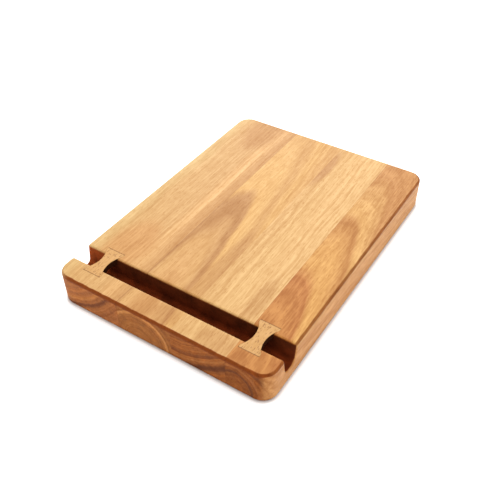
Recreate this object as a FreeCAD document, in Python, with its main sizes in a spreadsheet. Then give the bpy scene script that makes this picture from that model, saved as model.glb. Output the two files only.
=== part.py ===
import FreeCAD, Part
import os
import Sketcher
from FreeCAD import Vector

# A tablet stand made like a butcher's board: four staves glued edge to edge, one open slot
# routed across the width behind a front rail, and two bow-tie keys let in flush over the slot.
# Frame: millimetres, +Z up, +Y from the front rail to the back, +X to the right.
# The origin is the middle of the underside.

# ---------------------------------------------------------------- driving dimensions
SIZES = [
    ("board_width", 254.0, "side to side along X"),
    ("board_length", 356.0, "front to back along Y"),
    ("board_thickness", 38.0, "underside to top face"),
    ("corner_radius", 16.0, "plan radius of the four corners"),
    ("top_round", 2.5, "round-over of the top outer edge"),
    ("foot_round", 3.0, "round-over of the bottom outer edge"),
    ("left_glue_line", 46.5, "first glue line, left of the centre"),
    ("middle_glue_line", 18.6, "second glue line, right of the centre"),
    ("right_glue_line", 80.6, "third glue line, right of the centre"),
    ("rail_depth", 26.8, "front face to the slot's mouth"),
    ("slot_mouth", 22.0, "slot width at the top face"),
    ("slot_floor", 16.0, "slot width at its floor, before the floor corners are rounded"),
    ("slot_depth", 21.5, "top face to the slot's floor"),
    ("slot_floor_round", 4.5, "inside radius along the slot's floor"),
    ("slot_edge_round", 2.4, "ease of the slot's mouth and of its two open ends"),
    ("key_inset", 32.9, "side face to the middle of a key"),
    ("key_bite", 8.45, "reach of a key into the wood on each side of the slot"),
    ("key_end_width", 22.0, "width of a key across its ends"),
    ("key_waist", 11.6, "width of a key at its waist"),
    ("key_tip", 3.2, "straight flat on each side of a key's end"),
    ("key_thickness", 7.0, "key, top to underside"),
    ("glue_gap", 0.2, "clearance between a key and its socket wall"),
]
CUTTER_MARGIN = 20.0   # how far the stave cutters stand clear of the board
NEAR = 0.01            # tolerance for telling edges apart by where they lie

doc = FreeCAD.newDocument("tablet_stand")
sheet = doc.addObject("Spreadsheet::Sheet", "sizes")
for row, (alias, value, note) in enumerate(SIZES, start=1):
    sheet.set(f"A{row}", alias)
    sheet.set(f"B{row}", str(value))
    sheet.set(f"C{row}", note)
    sheet.setAlias(f"B{row}", alias)
doc.recompute()

# Expressions shared by more than one feature.
SLOT_FRONT = "(sizes.rail_depth - sizes.board_length / 2)"
SLOT_BACK = f"({SLOT_FRONT} + sizes.slot_mouth)"
SLOT_MIDDLE = f"({SLOT_FRONT} + sizes.slot_mouth / 2)"
SLOT_TAPER = "((sizes.slot_mouth - sizes.slot_floor) / 2)"
SLOT_FLOOR_HEIGHT = "(sizes.board_thickness - sizes.slot_depth)"
KEY_X = "(sizes.board_width / 2 - sizes.key_inset)"
KEY_BASE_HEIGHT = "(sizes.board_thickness - sizes.key_thickness)"
KEY_HALF_LENGTH = "(sizes.slot_mouth / 2 + sizes.key_bite)"
FLANK_HALF_LENGTH = f"({KEY_HALF_LENGTH} - sizes.key_tip)"
FLANK_HOLLOW = "((sizes.key_end_width - sizes.key_waist) / 2)"
FLANK_RADIUS = f"({FLANK_HALF_LENGTH}^2 + {FLANK_HOLLOW}^2) / (2 * {FLANK_HOLLOW})"


# ---------------------------------------------------------------- helpers
def value_of(expression):
    """The present value of an expression over the sheet's cells."""
    return float(sheet.evalExpression(expression))


def origin_plane(body, role):
    """The origin plane of a body that has the given role, such as XY_Plane."""
    return next(item for item in body.Origin.OriginFeatures if item.Role == role)


def new_sketch(body, name, role):
    """An empty sketch lying on one of the body's own origin planes."""
    sketch = body.newObject("Sketcher::SketchObject", name)
    sketch.AttachmentSupport = [(origin_plane(body, role), "")]
    sketch.MapMode = "FlatFace"
    return sketch


def dimension(sketch, name, kind, *where, expression):
    """Add one named length to a sketch and bind it to an expression."""
    index = sketch.addConstraint(Sketcher.Constraint(kind, *where, value_of(expression)))
    sketch.renameConstraint(index, name)
    sketch.setExpression(f"Constraints.{name}", expression)


def edges_where(feature, test):
    """Names of the feature's edges whose bounding box passes the test."""
    edges = feature.Shape.Edges
    return [f"Edge{i}" for i, edge in enumerate(edges, start=1) if test(edge.BoundBox)]


def fillet(body, name, base, edge_names, radius):
    """Round the named edges of the base feature to the radius in one sheet cell."""
    feature = body.newObject("PartDesign::Fillet", name)
    feature.Base = (base, edge_names)
    feature.setExpression("Radius", f"sizes.{radius}")
    doc.recompute()
    return feature


def check_cut(before, after):
    """Stop if a cutting feature has removed nothing."""
    if after.Shape.Volume > before.Shape.Volume - 1.0:
        raise RuntimeError(f"{after.Name} removed no wood from {before.Name}")


def closed_outline(sketch, points):
    """Join the points by lines into a closed loop; line i runs from point i to point i + 1."""
    count = len(points)
    for i, point in enumerate(points):
        sketch.addGeometry(Part.LineSegment(point, points[(i + 1) % count]), False)
    for i in range(count):
        sketch.addConstraint(Sketcher.Constraint("Coincident", i, 2, (i + 1) % count, 1))


# ---------------------------------------------------------------- the glued-up board
def board_outline(body):
    """Plan rectangle of the board, centred on the origin."""
    sketch = new_sketch(body, "board_outline", "XY_Plane")
    half_x = value_of("sizes.board_width / 2")
    half_y = value_of("sizes.board_length / 2")
    closed_outline(sketch, [Vector(-half_x, -half_y, 0), Vector(half_x, -half_y, 0),
                            Vector(half_x, half_y, 0), Vector(-half_x, half_y, 0)])
    for line, direction in enumerate(["Horizontal", "Vertical", "Horizontal", "Vertical"]):
        sketch.addConstraint(Sketcher.Constraint(direction, line))
    sketch.addConstraint(Sketcher.Constraint("Symmetric", 0, 1, 1, 2, -1, 1))
    dimension(sketch, "width", "DistanceX", 0, 1, 0, 2, expression="sizes.board_width")
    dimension(sketch, "length", "DistanceY", 1, 1, 1, 2, expression="sizes.board_length")
    return sketch


def slot_profile(body):
    """Cross-section of the slot: a wedge, wide at the mouth and narrow at the floor."""
    sketch = new_sketch(body, "slot_profile", "YZ_Plane")
    front = value_of(SLOT_FRONT)
    back = value_of(SLOT_BACK)
    taper = value_of(SLOT_TAPER)
    top = value_of("sizes.board_thickness")
    floor = value_of(SLOT_FLOOR_HEIGHT)
    closed_outline(sketch, [Vector(front, top, 0), Vector(front + taper, floor, 0),
                            Vector(back - taper, floor, 0), Vector(back, top, 0)])
    sketch.addConstraint(Sketcher.Constraint("Horizontal", 1))
    sketch.addConstraint(Sketcher.Constraint("Horizontal", 3))
    dimension(sketch, "front", "DistanceX", 0, 1, -1, 1, expression=f"-{SLOT_FRONT}")
    dimension(sketch, "top", "DistanceY", -1, 1, 0, 1, expression="sizes.board_thickness")
    dimension(sketch, "mouth", "DistanceX", 0, 1, 2, 2, expression="sizes.slot_mouth")
    dimension(sketch, "taper", "DistanceX", 0, 1, 0, 2, expression=SLOT_TAPER)
    dimension(sketch, "floor", "DistanceX", 1, 1, 1, 2, expression="sizes.slot_floor")
    dimension(sketch, "depth", "DistanceY", 1, 1, 0, 1, expression="sizes.slot_depth")
    return sketch


def bow_tie(body, name, centre_x, centre_y, clearance):
    """A bow tie along Y: two square ends with short flats, joined by two hollow flanks.

    centre_x, centre_y and clearance are expressions. The clearance widens and lengthens the
    outline, so the key and its socket come from the same values.
    """
    sketch = new_sketch(body, name, "XY_Plane")
    middle = Vector(value_of(centre_x), value_of(centre_y), 0)
    gap = value_of(clearance)
    end = value_of("sizes.key_end_width / 2") + gap
    waist = value_of("sizes.key_waist / 2") + gap
    reach = value_of(KEY_HALF_LENGTH) + gap
    inner = value_of(FLANK_HALF_LENGTH)

    def at(x, y):
        return middle + Vector(x, y, 0)

    flats_and_ends = [
        (at(-end, reach), at(end, reach)),      # 0: back end
        (at(end, reach), at(end, inner)),       # 1: back right flat
        (at(end, -inner), at(end, -reach)),     # 2: front right flat
        (at(end, -reach), at(-end, -reach)),    # 3: front end
        (at(-end, -reach), at(-end, -inner)),   # 4: front left flat
        (at(-end, inner), at(-end, reach)),     # 5: back left flat
    ]
    for start, stop in flats_and_ends:
        sketch.addGeometry(Part.LineSegment(start, stop), False)
    sketch.addGeometry(Part.Arc(at(end, inner), at(waist, 0), at(end, -inner)), False)       # 6
    sketch.addGeometry(Part.Arc(at(-end, -inner), at(-waist, 0), at(-end, inner)), False)    # 7
    sketch.addGeometry(Part.Point(middle), True)    # 8: middle of the bow tie

    def join(curve_1, end_1, curve_2, end_2):
        sketch.addConstraint(Sketcher.Constraint("Coincident", curve_1, end_1, curve_2, end_2))

    join(0, 2, 1, 1)
    join(2, 2, 3, 1)
    join(3, 2, 4, 1)
    join(5, 2, 0, 1)
    # A sketch stores an arc counter-clockwise, so each flank's start is looked up.
    for arc, back_vertex, front_vertex in ((6, (1, 2), (2, 1)), (7, (5, 1), (4, 2))):
        starts_at_back = sketch.getPoint(arc, 1).y > middle.y
        join(arc, 1 if starts_at_back else 2, *back_vertex)
        join(arc, 2 if starts_at_back else 1, *front_vertex)
    # The back half is squared up, and the front half is its point reflection in the middle.
    sketch.addConstraint(Sketcher.Constraint("Horizontal", 0))
    sketch.addConstraint(Sketcher.Constraint("Vertical", 1))
    sketch.addConstraint(Sketcher.Constraint("Vertical", 5))
    sketch.addConstraint(Sketcher.Constraint("Vertical", 1, 1, 2, 2))
    for first, second in (((0, 1), (3, 1)), ((0, 2), (3, 2)), ((1, 2), (4, 2)), ((5, 1), (2, 1))):
        sketch.addConstraint(Sketcher.Constraint("Symmetric", *first, *second, 8, 1))
    sketch.addConstraint(Sketcher.Constraint("Equal", 1, 5))
    sketch.addConstraint(Sketcher.Constraint("Equal", 6, 7))

    dimension(sketch, "end_width", "DistanceX", 0, 1, 0, 2,
              expression=f"sizes.key_end_width + 2 * {clearance}")
    dimension(sketch, "full_length", "DistanceY", 2, 2, 1, 1,
              expression=f"2 * ({KEY_HALF_LENGTH} + {clearance})")
    dimension(sketch, "flat", "DistanceY", 1, 2, 1, 1,
              expression=f"sizes.key_tip + {clearance}")
    dimension(sketch, "flank_radius", "Radius", 6, expression=FLANK_RADIUS)
    dimension(sketch, "centre_x", "DistanceX", -1, 1, 8, 1, expression=centre_x)
    dimension(sketch, "centre_y", "DistanceY", -1, 1, 8, 1, expression=centre_y)
    return sketch


def make_board():
    """The whole board before it is divided into staves: blank, rounds, slot and key sockets."""
    body = doc.addObject("PartDesign::Body", "board")

    blank = body.newObject("PartDesign::Pad", "blank")
    blank.Profile = board_outline(body)
    blank.setExpression("Length", "sizes.board_thickness")
    doc.recompute()

    upright = edges_where(blank, lambda box: box.ZLength > NEAR)
    rounded = fillet(body, "plan_corners", blank, upright, "corner_radius")

    just_below_top = value_of("sizes.board_thickness") - NEAR
    rim = edges_where(rounded, lambda box: box.ZMin > just_below_top)
    rounded = fillet(body, "top_edge", rounded, rim, "top_round")
    rim = edges_where(rounded, lambda box: box.ZMax < NEAR)
    rounded = fillet(body, "bottom_edge", rounded, rim, "foot_round")

    slot = body.newObject("PartDesign::Pocket", "slot")
    slot.Profile = slot_profile(body)
    slot.Type = "ThroughAll"
    slot.Midplane = True
    doc.recompute()
    check_cut(rounded, slot)

    # The slot's edges run the board's width. The mouth's are tangent to the edges of its open
    # ends, so easing the mouth eases the ends too.
    half_width = value_of("sizes.board_width / 2")
    floor_height = value_of(SLOT_FLOOR_HEIGHT)
    floor_edges = edges_where(slot, lambda box: box.XLength > half_width
                              and abs(box.ZMax - floor_height) < NEAR)
    hollowed = fillet(body, "slot_floor_corners", slot, floor_edges, "slot_floor_round")
    just_behind_slot = value_of(SLOT_BACK) + NEAR
    just_before_slot = value_of(SLOT_FRONT) - NEAR
    mouth_edges = edges_where(hollowed, lambda box: box.XLength > half_width
                              and box.ZMin > just_below_top
                              and box.YMin > just_before_slot and box.YMax < just_behind_slot)
    eased = fillet(body, "slot_edges", hollowed, mouth_edges, "slot_edge_round")

    socket_outline = bow_tie(body, "socket_outline", KEY_X, SLOT_MIDDLE, "sizes.glue_gap")
    socket_outline.setExpression(".AttachmentOffset.Base.z", "sizes.board_thickness")
    socket = body.newObject("PartDesign::Pocket", "right_socket")
    socket.Profile = socket_outline
    socket.setExpression("Length", "sizes.key_thickness")
    doc.recompute()
    check_cut(eased, socket)

    both = body.newObject("PartDesign::Mirrored", "both_sockets")
    both.Originals = [socket]
    both.MirrorPlane = (origin_plane(body, "YZ_Plane"), [""])
    body.Tip = both
    doc.recompute()
    check_cut(socket, both)
    return body


# ---------------------------------------------------------------- the pieces
def make_stave(name, board, from_x, to_x):
    """One stave: the strip of the board between two glue lines, given as expressions."""
    strip = doc.addObject("Part::Box", f"{name}_strip")
    strip.setExpression("Length", f"{to_x} - {from_x}")
    strip.setExpression("Width", f"sizes.board_length + {2 * CUTTER_MARGIN}")
    strip.setExpression("Height", f"sizes.board_thickness + {2 * CUTTER_MARGIN}")
    strip.setExpression(".Placement.Base.x", from_x)
    strip.setExpression(".Placement.Base.y", f"-sizes.board_length / 2 - {CUTTER_MARGIN}")
    strip.Placement.Base.z = -CUTTER_MARGIN
    stave = doc.addObject("Part::MultiCommon", name)
    stave.Shapes = [board, strip]
    stave.Label = name
    return stave


def make_key(name, side):
    """One bow-tie key, standing on its socket's floor and flush with the top face."""
    body = doc.addObject("PartDesign::Body", name)
    body.Label = name
    outline = bow_tie(body, f"{name}_outline", "0", "0", "0")
    pad = body.newObject("PartDesign::Pad", f"{name}_pad")
    pad.Profile = outline
    pad.setExpression("Length", "sizes.key_thickness")
    body.setExpression(".Placement.Base.x", f"{side} * {KEY_X}")
    body.setExpression(".Placement.Base.y", SLOT_MIDDLE)
    body.setExpression(".Placement.Base.z", KEY_BASE_HEIGHT)
    return body


board = make_board()
GLUE_LINES = [
    f"(-sizes.board_width / 2 - {CUTTER_MARGIN})",
    "(-sizes.left_glue_line)",
    "sizes.middle_glue_line",
    "sizes.right_glue_line",
    f"(sizes.board_width / 2 + {CUTTER_MARGIN})",
]
STAVES = ["left_stave", "centre_left_stave", "centre_right_stave", "right_stave"]
pieces = [make_stave(name, board, GLUE_LINES[i], GLUE_LINES[i + 1])
          for i, name in enumerate(STAVES)]
pieces += [make_key("left_key", -1), make_key("right_key", 1)]
doc.recompute()

# ---------------------------------------------------------------- checks and export
for item in doc.Objects:
    if "Invalid" in item.State or "Error" in item.State:
        raise RuntimeError(f"{item.Label} failed: {item.State}")
for piece in pieces:
    if piece.Shape.isNull() or not piece.Shape.isValid() or len(piece.Shape.Solids) != 1:
        raise RuntimeError(f"{piece.Label} isn't one valid solid")

os.makedirs("parts", exist_ok=True)
for piece in pieces:
    piece.Shape.exportStep(f"parts/{piece.Label}.step")
    box = piece.Shape.optimalBoundingBox()
    print(f"{piece.Label}: {piece.Shape.Volume / 1000:.1f} cm3, x {box.XMin:.1f} to {box.XMax:.1f}, "
          f"y {box.YMin:.1f} to {box.YMax:.1f}, z {box.ZMin:.1f} to {box.ZMax:.1f}")
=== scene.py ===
import math

import bpy
from mathutils import Matrix, Vector


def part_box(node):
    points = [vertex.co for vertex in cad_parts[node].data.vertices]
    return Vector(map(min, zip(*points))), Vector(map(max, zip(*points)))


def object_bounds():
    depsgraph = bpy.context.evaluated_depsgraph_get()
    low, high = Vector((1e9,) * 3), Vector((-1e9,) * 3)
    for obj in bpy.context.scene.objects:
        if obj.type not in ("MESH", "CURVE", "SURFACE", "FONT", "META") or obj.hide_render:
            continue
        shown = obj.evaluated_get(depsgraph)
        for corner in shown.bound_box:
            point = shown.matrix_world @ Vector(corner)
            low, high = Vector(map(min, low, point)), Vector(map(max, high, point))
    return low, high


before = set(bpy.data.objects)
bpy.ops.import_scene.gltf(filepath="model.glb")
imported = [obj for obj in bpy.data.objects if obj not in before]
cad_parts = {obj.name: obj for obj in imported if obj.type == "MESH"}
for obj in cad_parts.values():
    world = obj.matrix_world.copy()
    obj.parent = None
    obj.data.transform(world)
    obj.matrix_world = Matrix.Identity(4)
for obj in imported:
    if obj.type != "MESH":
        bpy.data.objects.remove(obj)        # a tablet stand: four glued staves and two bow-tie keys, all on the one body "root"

CAD_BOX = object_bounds()
LOW, HIGH = CAD_BOX
MM = 0.001

# ---------------------------------------------------------------- sizes of the board, in millimetres
HALF_WIDTH = HIGH.x / MM
HALF_LENGTH = HIGH.y / MM
TOP = HIGH.z / MM
CORNER = 16.0            # radius of the board's four corners, seen from above
EDGE_ROUND = 2.5         # round-over along the top edge
LEFT_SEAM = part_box("left_stave")[1].x / MM
RIGHT_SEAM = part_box("right_stave")[0].x / MM

KEY_LOW, KEY_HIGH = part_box("left_key")
KEY_HALF = (KEY_HIGH.y - KEY_LOW.y) / 2 / MM
SLOT_MIDDLE = (KEY_HIGH.y + KEY_LOW.y) / 2 / MM      # the keys stand centred on the slot
SLOT_MOUTH = 22.0        # width between the walls at the top
SLOT_BASE = 16.0         # width between the walls at the floor
SLOT_DEPTH = 21.5
SLOT_FLOOR = TOP - SLOT_DEPTH
SLOT_ROUND = 4.5         # inside radius along the slot's floor
SLOT_SPREAD = (SLOT_MOUTH - SLOT_BASE) / 2 / SLOT_DEPTH   # how far each wall leans out per millimetre


# ---------------------------------------------------------------- nodes and colours
ALL = slice(None)                                # a node's outputs as a list, empty at the last node
SMOOTH = {"interpolation_type": "SMOOTHSTEP"}    # a map range that eases in and out
PAINT = {"data_type": "RGBA", "output": 2}       # a mix of colours: inputs 6 and 7 are the two


def linear(hex_colour):
    """Turns an sRGB hex colour into linear red, green, blue and alpha."""
    channels = [int(hex_colour[i:i + 2], 16) / 255 for i in (1, 3, 5)]
    bright = [c / 12.92 if c <= 0.04045 else ((c + 0.055) / 1.055) ** 2.4 for c in channels]
    return (*bright, 1.0)


def add(tree, kind, inputs=None, output=0, stops=None, **settings):
    """Adds one node with its settings and returns the chosen output, or the list of them.
    An input is a number, a vector, a hex colour or another node's output; stops are a
    colour ramp's (place, hex colour) pairs."""
    node = tree.nodes.new("ShaderNode" + kind)
    for name, value in settings.items():
        setattr(node, name, value)
    if stops:
        ramp = node.color_ramp.elements
        while len(ramp) < len(stops):
            ramp.new(0.5)
        for element, (place, tone) in zip(ramp, stops):
            element.position = place
            element.color = linear(tone)
    for name, value in (inputs or {}).items():
        if isinstance(value, bpy.types.NodeSocket):
            tree.links.new(value, node.inputs[name])
        elif isinstance(value, str):
            node.inputs[name].default_value = linear(value)
        else:
            node.inputs[name].default_value = value
    return node.outputs[output]


def new_finish(name):
    """An empty material and its node tree."""
    material = bpy.data.materials.new(name)
    material.use_nodes = True
    material.node_tree.nodes.clear()
    return material, material.node_tree


def place_in_mm(tree):
    """The surface point in the board's own frame, in millimetres."""
    point = add(tree, "TexCoord", output="Object")
    return add(tree, "VectorMath", {0: point, 1: (1 / MM,) * 3}, operation="MULTIPLY")


# ---------------------------------------------------------------- masks that follow the board's shape
def edge_distance(tree, place):
    """How far inside the board's rounded outline a point lies: the distance to a rectangle
    shrunk by the corner radius, less that radius, turned positive inwards."""
    folded = add(tree, "VectorMath", {0: place}, operation="ABSOLUTE")
    core = (HALF_WIDTH - CORNER, HALF_LENGTH - CORNER, 0.0)
    past = add(tree, "VectorMath", {0: folded, 1: core}, operation="SUBTRACT")
    flat = add(tree, "VectorMath", {0: past, 1: (1.0, 1.0, 0.0)}, operation="MULTIPLY")
    outside = add(tree, "VectorMath", {0: flat, 1: (0.0, 0.0, 0.0)}, operation="MAXIMUM")
    beyond = add(tree, "VectorMath", {0: outside}, output="Value", operation="LENGTH")
    along, across, _ = add(tree, "SeparateXYZ", {0: flat}, output=ALL)
    larger = add(tree, "Math", {0: along, 1: across}, operation="MAXIMUM")
    within = add(tree, "Math", {0: larger, 1: 0.0}, operation="MINIMUM")
    signed = add(tree, "Math", {0: beyond, 1: within}, operation="ADD")
    return add(tree, "Math", {0: CORNER, 1: signed}, operation="SUBTRACT")


def slot_shade(tree, place):
    """One on the slot's walls and floor, where the painted shade goes, nought in the wood around it and at
    the eased mouth.
    A point's distance past the slanting wall and its depth under the floor give its distance
    past the slot's outline, whose two lower corners are round; the shade is full on the outline
    and gone 0.9 mm into the wood."""
    _, along, height = add(tree, "SeparateXYZ", {0: place}, output=ALL)
    from_middle = add(tree, "Math", {0: along, 1: SLOT_MIDDLE}, operation="SUBTRACT")
    aside = add(tree, "Math", {0: from_middle}, operation="ABSOLUTE")
    above = add(tree, "Math", {0: height, 1: SLOT_FLOOR}, operation="SUBTRACT")
    half = add(tree, "Math", {0: above, 1: SLOT_SPREAD, 2: SLOT_BASE / 2}, operation="MULTIPLY_ADD")
    past_wall = add(tree, "Math", {0: aside, 1: half}, operation="SUBTRACT")
    near_wall = add(tree, "Math", {0: past_wall, 1: SLOT_ROUND}, operation="ADD")
    near_floor = add(tree, "Math", {0: SLOT_ROUND, 1: above}, operation="SUBTRACT")
    corner = add(tree, "CombineXYZ", {0: near_wall, 1: near_floor})
    corner = add(tree, "VectorMath", {0: corner, 1: (0.0, 0.0, 0.0)}, operation="MAXIMUM")
    from_centre = add(tree, "VectorMath", {0: corner}, output="Value", operation="LENGTH")
    past = add(tree, "Math", {0: from_centre, 1: SLOT_ROUND}, operation="SUBTRACT")
    inside = add(tree, "MapRange", {0: past, 1: 0.9, 2: 0.3}, **SMOOTH)
    deep = add(tree, "MapRange", {0: height, 1: TOP - 1.1, 2: TOP - 2.8}, **SMOOTH)
    return add(tree, "Math", {0: inside, 1: deep}, operation="MULTIPLY")


# ---------------------------------------------------------------- patterns of the wood
RING = 2.6               # millimetres between growth rings; the finer ones are drawn this coarse
END_RING = 1.7 * RING    # the same on the end grain, drawn coarser still
FIBRE = 1.2              # millimetres across a streak of fibres; the real ones are a tenth of that
PORE = 1.5               # millimetres between pores, drawn as coarse as they need to show
PORE_LENGTH = 9.0        # millimetres from one pore to the next with the grain
KEY_FIBRE = 0.9          # the same three in the keys, drawn coarse too
KEY_PORE = 1.6
KEY_PORE_LENGTH = 5.0


def wandering(tree, place, reach, across, along, seed):
    """The point moved by up to half of reach in x and z, by a noise that changes every across
    millimetres over the grain and every along millimetres with it."""
    steps = (1 / across, 1 / along, 1 / across)
    stretched = add(tree, "Mapping", {0: place, 1: (seed, seed, seed), 3: steps})
    noise = add(tree, "TexNoise", {"Vector": stretched, "Scale": 1.0, "Detail": 2.0}, output="Color")
    centred = add(tree, "VectorMath", {0: noise, 1: (0.5, 0.5, 0.5)}, operation="SUBTRACT")
    return add(tree, "VectorMath", {0: centred, 1: (reach, 0.0, reach), 2: place}, operation="MULTIPLY_ADD")


def from_pith(tree, place, pith, rise, sway):
    """Distance from the trunk's pith, a straight line through the given x and z at mid length.
    Towards the front it climbs by rise and moves right by sway for every millimetre."""
    turn = (-math.atan(rise), 0.0, math.atan(sway))
    trunk = {0: place, 1: (pith[0], 0.0, pith[1]), 2: turn}
    seen = add(tree, "Mapping", trunk, vector_type="TEXTURE")
    flat = add(tree, "VectorMath", {0: seen, 1: (1.0, 0.0, 1.0)}, operation="MULTIPLY")
    return add(tree, "VectorMath", {0: flat}, output="Value", operation="LENGTH")


def streaks(tree, place, across, along, low, high):
    """A tone that goes from low to high in streaks, across wide and along long, in millimetres."""
    steps = (1 / across, 1 / along, 1 / across)
    stretched = add(tree, "VectorMath", {0: place, 1: steps}, operation="MULTIPLY")
    noise = add(tree, "TexNoise", {"Vector": stretched, "Scale": 1.0, "Detail": 3.0, "Roughness": 0.6})
    return add(tree, "MapRange", {0: noise, 1: 0.28, 2: 0.72, 3: low, 4: high})


def pores(tree, place, across, along):
    """Distance from the nearest pore, where pores are across apart over the grain and along
    apart with it, in millimetres, and that spacing counts as one."""
    steps = (1 / across, 1 / along, 1 / across)
    stretched = add(tree, "VectorMath", {0: place, 1: steps}, operation="MULTIPLY")
    return add(tree, "TexVoronoi", {"Vector": stretched, "Scale": 1.0})


def tinted(tree, share, colour, tint):
    """The colour, with a share of itself seen through a tint."""
    seen = add(tree, "VectorMath", {0: colour, 1: tint}, operation="MULTIPLY")
    return add(tree, "Mix", {0: share, 6: colour, 7: seen}, **PAINT)


def oiled_surface(tree, colour, rough, gloss, height, depth):
    """Ends a wood's nodes: a satin surface whose height stands for depth millimetres."""
    bump = add(tree, "Bump", {"Strength": 0.3, "Distance": depth * MM, "Height": height})
    shader = add(tree, "BsdfPrincipled", {"Base Color": colour, "Roughness": rough, "IOR": 1.48,
                                          "Specular IOR Level": gloss, "Normal": bump})
    add(tree, "OutputMaterial", {0: shader}, output=ALL)


# ---------------------------------------------------------------- oiled acacia
def growth_colour(tree, age_radius, growth):
    """Heartwood and sapwood, by distance from the pith."""
    first, last = growth[0][0], growth[-1][0]
    stops = [((radius - first) / (last - first), tone) for radius, tone in growth]
    age = add(tree, "MapRange", {0: age_radius, 1: first, 2: last})
    return add(tree, "ValToRGB", {0: age}, stops=stops)


def clouded(tree, place, colour, figure):
    """Clouds and streaks where the trunk was not even: each an ellipsoid with a soft edge."""
    for centre, half, tone, strength in figure:
        size = add(tree, "Mapping", {0: place, 1: centre, 3: half}, vector_type="TEXTURE")
        off = add(tree, "VectorMath", {0: size}, output="Value", operation="LENGTH")
        share = add(tree, "MapRange", {0: off, 1: 1.12, 2: 0.55, 4: strength}, **SMOOTH)
        colour = add(tree, "Mix", {0: share, 6: colour, 7: tone}, **PAINT)
    return colour


def grain_tone(tree, place, radius, bite):
    """Light and dark of the grain: rings, fibres, long streaks, the silky mottle of interlocked
    grain, and pores, all raised to the power bite."""
    ring_place = add(tree, "Math", {0: radius, 1: RING}, operation="DIVIDE")
    ring = add(tree, "TexNoise", {"W": ring_place, "Scale": 1.0, "Detail": 3.0}, noise_dimensions="1D")
    pore = pores(tree, place, PORE, PORE_LENGTH)
    tones = [
        streaks(tree, place, FIBRE, 26.0, 0.87, 1.11),
        streaks(tree, place, 3.2, 120.0, 0.93, 1.06),
        streaks(tree, place, 7.0, 9.0, 0.95, 1.05),
        add(tree, "MapRange", {0: pore, 1: 0.10, 2: 0.32, 3: 0.80}, **SMOOTH),
    ]
    grain = add(tree, "MapRange", {0: ring, 1: 0.25, 2: 0.75, 3: 0.90, 4: 1.08})
    for tone in tones:
        grain = add(tree, "Math", {0: grain, 1: tone}, operation="MULTIPLY")
    return add(tree, "Math", {0: grain, 1: bite}, operation="POWER")


def end_grain(tree, place, radius, end_tone, end_dark, bands):
    """End grain drinks more oil, so it is red brown and its arcs show harder.  Each band is one
    ring that stands out."""
    arc_place = add(tree, "Math", {0: radius, 1: END_RING}, operation="DIVIDE")
    arc = add(tree, "TexNoise", {"W": arc_place, "Scale": 1.0, "Detail": 3.0, "Roughness": 0.6},
              noise_dimensions="1D")
    share = add(tree, "MapRange", {0: arc, 1: 0.34, 2: 0.62})
    colour = add(tree, "Mix", {0: share, 6: end_dark, 7: end_tone}, **PAINT)
    for reach, half, tone, strength in bands:
        past = add(tree, "Math", {0: radius, 1: reach}, operation="SUBTRACT")
        off = add(tree, "Math", {0: past}, operation="ABSOLUTE")
        share = add(tree, "MapRange", {0: off, 1: half, 2: half * 0.2, 4: strength}, **SMOOTH)
        colour = add(tree, "Mix", {0: share, 6: colour, 7: tone}, **PAINT)
    cloud = streaks(tree, place, 6.0, 6.0, 0.80, 1.18)
    return add(tree, "VectorMath", {0: colour, "Scale": cloud}, operation="SCALE")


def end_share_of(tree):
    """One on the board's two ends and nought on its top and sides, blended round the corners."""
    normal = add(tree, "TexCoord", output="Normal")
    _, facing, _ = add(tree, "SeparateXYZ", {0: normal}, output=ALL)
    faces_end = add(tree, "Math", {0: facing}, operation="ABSOLUTE")
    return add(tree, "MapRange", {0: faces_end, 1: 0.74, 2: 0.97}, **SMOOTH)


def rim_share(tree, place, end_share):
    """One on the rounded top edge along the front and the right, where it is drawn as a darker red-brown
    band, with an uneven border.  On the ends the dark rim reaches further down."""
    x, y, z = add(tree, "SeparateXYZ", {0: place}, output=ALL)
    below = add(tree, "Math", {0: TOP, 1: z}, operation="SUBTRACT")
    slowed = add(tree, "MapRange", {0: end_share, 3: 1.05, 4: 0.68})
    down = add(tree, "Math", {0: below, 1: slowed}, operation="MULTIPLY")
    inward = edge_distance(tree, place)
    away = add(tree, "Math", {0: inward, 1: down}, operation="MAXIMUM")
    uneven = streaks(tree, place, 9.0, 14.0, -0.35, 0.35)
    edge = add(tree, "Math", {0: away, 1: uneven}, operation="ADD")
    rounded = add(tree, "MapRange", {0: edge, 1: EDGE_ROUND + 0.5, 2: EDGE_ROUND - 0.7}, **SMOOTH)
    front = add(tree, "MapRange", {0: y, 1: -162.0, 2: -172.0}, **SMOOTH)
    past_left_corner = add(tree, "MapRange", {0: x, 1: -127.0, 2: -108.0}, **SMOOTH)
    along_front = add(tree, "Math", {0: front, 1: past_left_corner}, operation="MULTIPLY")
    along_right = add(tree, "MapRange", {0: x, 1: 112.0, 2: 122.0, 4: 0.75}, **SMOOTH)
    sides = add(tree, "Math", {0: along_front, 1: along_right}, operation="MAXIMUM")
    return add(tree, "Math", {0: rounded, 1: sides}, operation="MULTIPLY")


def painted_slot_shade(tree, place):
    """The slot's painted shade: a dark colour that stands for the shade in the slot, a little redder
    towards its floor, with painted light at its left end where the slot is open, and smeared."""
    x, _, z = add(tree, "SeparateXYZ", {0: place}, output=ALL)
    deeper = add(tree, "MapRange", {0: z, 1: TOP - 4.0, 2: SLOT_FLOOR + 2.0}, **SMOOTH)
    shade_tone = add(tree, "Mix", {0: deeper, 6: "#4D1F0A", 7: "#5A2109"}, **PAINT)
    # painted light: the slot's open left end is drawn lighter
    painted_light_at_open_end = add(tree, "MapRange", {0: x, 1: -84.0, 2: -116.0}, **SMOOTH)
    shade_tone = add(tree, "Mix", {0: painted_light_at_open_end, 6: shade_tone, 7: "#96461C"}, **PAINT)
    smears = streaks(tree, place, 14.0, 6.0, 0.55, 1.45)
    return add(tree, "VectorMath", {0: shade_tone, "Scale": smears}, operation="SCALE")


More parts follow.
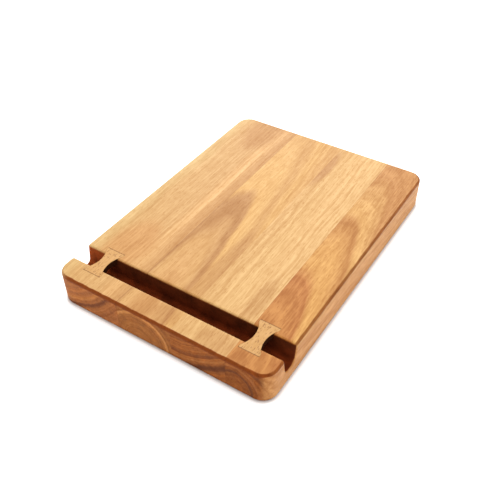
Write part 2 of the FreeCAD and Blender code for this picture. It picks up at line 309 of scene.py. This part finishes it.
def stave_wood(name, seed, pith, rise, sway, growth, bite, end_tone, end_dark, bands, figure, seams=()):
    """Acacia, planed, sanded and rubbed with oil: a satin wood whose growth rings are solid
    through the stave, so they run as flames on the flat faces and as arcs on the end grain.

    pith, rise and sway lay the trunk's middle line, as in from_pith.  growth lists (distance
    from it, colour); figure lists clouds and streaks as (centre, half size, colour, strength);
    bands lists rings on the end grain as (distance, half width, colour, strength), over its
    light and dark colours, end_tone and end_dark.  bite is how hard the grain shows.  seams
    lists glue lines as (x, strength)."""
    material, tree = new_finish(name)
    place = place_in_mm(tree)
    x, _, z = add(tree, "SeparateXYZ", {0: place}, output=ALL)
    bent = wandering(tree, place, 7.0, 40.0, 110.0, seed)
    moved = wandering(tree, bent, 2.4, 5.0, 60.0, seed)
    radius = from_pith(tree, moved, pith, rise, sway)
    grain = grain_tone(tree, moved, radius, bite)

    flat = growth_colour(tree, from_pith(tree, bent, pith, rise, sway), growth)
    flat = clouded(tree, bent, flat, figure)
    ends = end_grain(tree, place, radius, end_tone, end_dark, bands)
    end_share = end_share_of(tree)
    colour = add(tree, "Mix", {0: end_share, 6: flat, 7: ends}, **PAINT)

    # the dark part of the grain is redder than the light part
    dark_share = add(tree, "MapRange", {0: grain, 1: 1.16, 2: 0.76})
    light = add(tree, "VectorMath", {0: colour, 1: (1.11, 1.15, 1.22)}, operation="MULTIPLY")
    dark = add(tree, "VectorMath", {0: colour, 1: (0.78, 0.67, 0.54)}, operation="MULTIPLY")
    colour = add(tree, "Mix", {0: dark_share, 6: light, 7: dark}, **PAINT)

    # the rim is red brown, and the foot's round-over is darkened with painted shade where it meets the floor
    dark_rim = rim_share(tree, place, end_share)
    rim = add(tree, "VectorMath", {0: linear("#74370F")[:3], "Scale": grain}, operation="SCALE")
    colour = add(tree, "Mix", {0: dark_rim, 6: colour, 7: rim}, **PAINT)
    painted_foot_shade = add(tree, "MapRange", {0: z, 1: 3.6, 2: 0.8, 4: 0.8}, **SMOOTH)
    colour = tinted(tree, painted_foot_shade, colour, (0.50, 0.41, 0.38))

    for seam, strength in seams:
        past = add(tree, "Math", {0: x, 1: seam}, operation="SUBTRACT")
        gap = add(tree, "Math", {0: past}, operation="ABSOLUTE")
        glue = add(tree, "MapRange", {0: gap, 1: 1.2, 2: 0.2, 4: strength}, **SMOOTH)
        colour = tinted(tree, glue, colour, (0.60, 0.48, 0.36))

    # the slot's walls and floor are painted dark: painted shade for the recess
    shade = slot_shade(tree, place)
    colour = add(tree, "Mix", {0: shade, 6: colour, 7: painted_slot_shade(tree, place)}, **PAINT)

    # dark fibres are rougher, the slot is left as sawn, and the slot's painted shade, the dark rim and the
    # end grain have little gloss
    rough = add(tree, "MapRange", {0: grain, 1: 0.8, 2: 1.1, 3: 0.62, 4: 0.48})
    rough = add(tree, "Math", {0: rough, 1: shade}, operation="MAXIMUM")
    low_gloss_share = add(tree, "Math", {0: shade, 1: dark_rim}, operation="MAXIMUM")
    low_gloss_share = add(tree, "Math", {0: low_gloss_share, 1: end_share}, operation="MAXIMUM")
    gloss = add(tree, "MapRange", {0: low_gloss_share, 3: 0.3, 4: 0.06})
    oiled_surface(tree, colour, rough, gloss, grain, 0.15)
    return material


def key_wood(name):
    """Pale straight-grained hardwood for the bow-tie keys, sanded flush and oiled: fine dark
    pores run the key's length.  Its sawn sides, in the slot, are painted near black as shade."""
    material, tree = new_finish(name)
    place = place_in_mm(tree)
    _, y, z = add(tree, "SeparateXYZ", {0: place}, output=ALL)
    fibre = streaks(tree, place, KEY_FIBRE, 14.0, 0.0, 1.0)
    colour = add(tree, "ValToRGB", {0: fibre}, stops=[(0.0, "#8A5A2A"), (0.28, "#B28449"), (1.0, "#C0935B")])

    # the glue line across each end, then the pores, then the painted shade on the sawn sides in the slot
    off = add(tree, "Math", {0: y, 1: SLOT_MIDDLE}, operation="SUBTRACT")
    out = add(tree, "Math", {0: off}, operation="ABSOLUTE")
    glue = add(tree, "MapRange", {0: out, 1: KEY_HALF - 0.9, 2: KEY_HALF - 0.3, 4: 0.8}, **SMOOTH)
    colour = tinted(tree, glue, colour, (0.4, 0.3, 0.2))
    pore = pores(tree, place, KEY_PORE, KEY_PORE_LENGTH)
    open_pore = add(tree, "MapRange", {0: pore, 1: 0.36, 2: 0.12, 4: 0.9}, **SMOOTH)
    colour = tinted(tree, open_pore, colour, (0.46, 0.34, 0.25))
    # painted shade: the key's sides below the top are drawn near black
    sides_in_slot = add(tree, "MapRange", {0: z, 1: TOP - 0.15, 2: TOP - 0.6}, **SMOOTH)
    colour = add(tree, "Mix", {0: sides_in_slot, 6: colour, 7: "#35180A"}, **PAINT)

    rough = add(tree, "MapRange", {0: fibre, 3: 0.62, 4: 0.48})
    gloss = add(tree, "MapRange", {0: sides_in_slot, 3: 0.3, 4: 0.05})
    oiled_surface(tree, colour, rough, gloss, fibre, 0.1)
    return material


def finish_node(node, material):
    """Gives a CAD node its finish and leaves its mesh alone."""
    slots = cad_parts[node].data.materials
    slots.clear()
    slots.append(material)


# ---------------------------------------------------------------- the four staves and the keys
# pale and even, with a brown cloud near the back, a light streak and a brown shade by the slot
finish_node("left_stave", stave_wood(
    "acacia_left_stave_oiled", seed=3.0, pith=(-125.0, 80.0), rise=0.004, sway=0.01,
    growth=[(41, "#C2A26A"), (44.6, "#B88F56"), (66, "#B78D55"), (73, "#BF935A"), (85, "#B0824A"),
            (94, "#B4854C")],
    bite=1.0, end_tone="#A0602E", end_dark="#8D5226",
    bands=[(78.5, 4.0, "#5F2F13", 0.8), (70.0, 3.0, "#B57539", 0.5), (92.0, 5.0, "#713A18", 0.4)],
    figure=[((-84.0, 158.0, 38.0), (24.0, 56.0, 40.0), "#A57439", 0.8),
            ((-62.0, 30.0, 38.0), (3.5, 110.0, 20.0), "#CFA66E", 0.6),
            ((-88.0, -105.0, 38.0), (26.0, 50.0, 30.0), "#B07A3E", 0.6)],
    seams=[(LEFT_SEAM, 0.4)]))

# one long flame: brown heartwood out to 37 mm and a dark line at 47 mm, seen as a long arch
finish_node("centre_left_stave", stave_wood(
    "acacia_centre_left_stave_oiled", seed=11.0, pith=(-31.0, -8.2), rise=0.06, sway=0.057,
    growth=[(0, "#9C6E3A"), (24, "#AF7F45"), (37, "#AF7E44"), (43, "#BD9258"), (46, "#A2723A"),
            (47.4, "#A2723A"), (49, "#C19555"), (54, "#C09556"), (60, "#B5884C"), (66, "#BC9050"),
            (76, "#B78A4E")],
    bite=1.0, end_tone="#9A5F2A", end_dark="#844D20",
    bands=[(34.0, 3.2, "#BD7E43", 0.6), (28.5, 2.6, "#6D3A18", 0.4), (43.0, 4.0, "#6D3816", 0.5)],
    figure=[((12.0, -90.0, 38.0), (13.0, 85.0, 30.0), "#A3733C", 0.6),
            ((2.0, -166.0, 38.0), (22.0, 16.0, 20.0), "#9E6A30", 0.38)],
    seams=[(LEFT_SEAM, 0.4)]))

# the palest, nearly plain, with a brown streak at the back and two by the right of the slot
finish_node("centre_right_stave", stave_wood(
    "acacia_centre_right_stave_oiled", seed=23.0, pith=(0.0, 100.0), rise=0.02, sway=0.06,
    growth=[(55, "#B88D54"), (75, "#C0985E"), (86, "#C49C63"), (100, "#C29A61"), (140, "#B88D54")],
    bite=1.15, end_tone="#965622", end_dark="#81471A",
    bands=[(91.0, 4.0, "#5F2E12", 0.6), (97.5, 2.5, "#A66B37", 0.4), (106.0, 7.0, "#4C240E", 0.8)],
    figure=[((22.0, 128.0, 38.0), (8.0, 42.0, 20.0), "#9D6934", 0.6),
            ((70.0, -100.0, 38.0), (10.0, 40.0, 20.0), "#A4743A", 0.5),
            ((64.0, -166.0, 38.0), (26.0, 17.0, 20.0), "#9E6A30", 0.45)]))

# the darkest and reddest, with dark lines at 46.5 and 59.5 mm between pale rings, and a side face that is
# paler, partly its grain and partly painted light
finish_node("right_stave", stave_wood(
    "acacia_right_stave_oiled", seed=37.0, pith=(89.0, -15.0), rise=0.12, sway=0.015,
    growth=[(0, "#945C27"), (40, "#AA6F2E"), (46.5, "#A46628"), (49, "#BC8A46"), (53, "#BC8A46"),
            (59.5, "#A87234"), (61.5, "#C19454"), (66, "#B6874A"), (70, "#AC783F"), (90, "#A9743C")],
    bite=1.6, end_tone="#894C1A", end_dark="#733C14",
    bands=[(19.0, 3.0, "#502812", 0.7), (26.0, 2.6, "#9A5E30", 0.6), (34.0, 3.0, "#502812", 0.6)],
    # the side face's pale tone: partly the stave's grain, partly painted light and sheen
    figure=[((131.0, 0.0, 12.0), (9.0, 400.0, 32.0), "#BB8345", 0.85)],
    seams=[(RIGHT_SEAM, 0.3)]))

key_finish = key_wood("pale_hardwood_key_oiled")
finish_node("left_key", key_finish)
finish_node("right_key", key_finish)


# ---------------------------------------------------------------- floor, light and camera
def floor_with_painted_glow():
    """A white floor under the board with a painted glow, none close to the board, and a painted
    shadow, a little darker there, so that the shadow is dark where they touch and thin."""
    bpy.ops.mesh.primitive_plane_add(size=6.0, location=(0.0, 0.0, LOW.z))
    floor = bpy.context.object
    floor.name = "floor_with_painted_glow"
    material, tree = new_finish("white_floor_with_painted_glow_and_shadow")
    inward = edge_distance(tree, place_in_mm(tree))
    # painted glow away from the board, and a painted shadow close to it
    painted_glow = add(tree, "MapRange", {0: inward, 1: 0.0, 2: -6.0, 4: 0.3}, **SMOOTH)
    painted_shadow = add(tree, "MapRange", {0: inward, 1: -2.5, 2: 0.0, 4: 0.4}, **SMOOTH)
    tone = add(tree, "Mix", {0: painted_shadow, 6: "#FAFAFA", 7: "#B09A8E"}, **PAINT)
    shader = add(tree, "BsdfPrincipled", {"Base Color": tone, "Roughness": 0.9, "Specular IOR Level": 0.2,
                                          "Emission Color": "#FFFFFF", "Emission Strength": painted_glow})
    add(tree, "OutputMaterial", {0: shader}, output=ALL)
    floor.data.materials.append(material)


def soft_light(name, place, size, watts):
    """A square soft box at a place, turned towards the middle of the board."""
    lamp = bpy.data.lights.new(name, "AREA")
    lamp.shape = "SQUARE"
    lamp.size = size
    lamp.energy = watts
    box = bpy.data.objects.new(name, lamp)
    bpy.context.scene.collection.objects.link(box)
    box.location = place
    box.rotation_euler = (-Vector(place)).to_track_quat("-Z", "Y").to_euler()


def studio():
    """A bright white room and two soft boxes, over the board and behind it."""
    world = bpy.data.worlds.new("white_room")
    bpy.context.scene.world = world
    world.use_nodes = True
    room = world.node_tree.nodes["Background"]
    room.inputs["Color"].default_value = linear("#FFFFFF")
    room.inputs["Strength"].default_value = 1.0
    soft_light("overhead_soft_box", (0.0, 0.1, 1.6), 1.8, 16.0)
    soft_light("back_soft_box", (-0.64, 1.0, 0.75), 0.9, 11.0)
    bpy.context.scene.view_settings.view_transform = "Standard"


def stand_camera():
    """The camera stands to the front right of the board and looks down at its middle."""
    turn = math.radians(32.7059)
    tilt = math.radians(42.218)
    roll = math.radians(-0.268)
    aim = Vector((-0.17, -9.48, 0.0)) * MM
    distance = 751.93 * MM
    back = Vector((math.sin(turn) * math.cos(tilt), -math.cos(turn) * math.cos(tilt), math.sin(tilt)))
    right = Vector((0.0, 0.0, 1.0)).cross(back).normalized()
    up = back.cross(right)
    level = Matrix((right, up, back)).transposed().to_4x4()
    camera = bpy.data.objects.new("camera", bpy.data.cameras.new("camera"))
    bpy.context.scene.collection.objects.link(camera)
    camera.matrix_world = Matrix.Translation(aim + back * distance) @ level @ Matrix.Rotation(roll, 4, "Z")
    camera.data.lens = 47.874
    camera.data.sensor_width = 36.0
    camera.data.clip_start = 0.05
    bpy.context.scene.camera = camera


floor_with_painted_glow()
studio()
stand_camera()
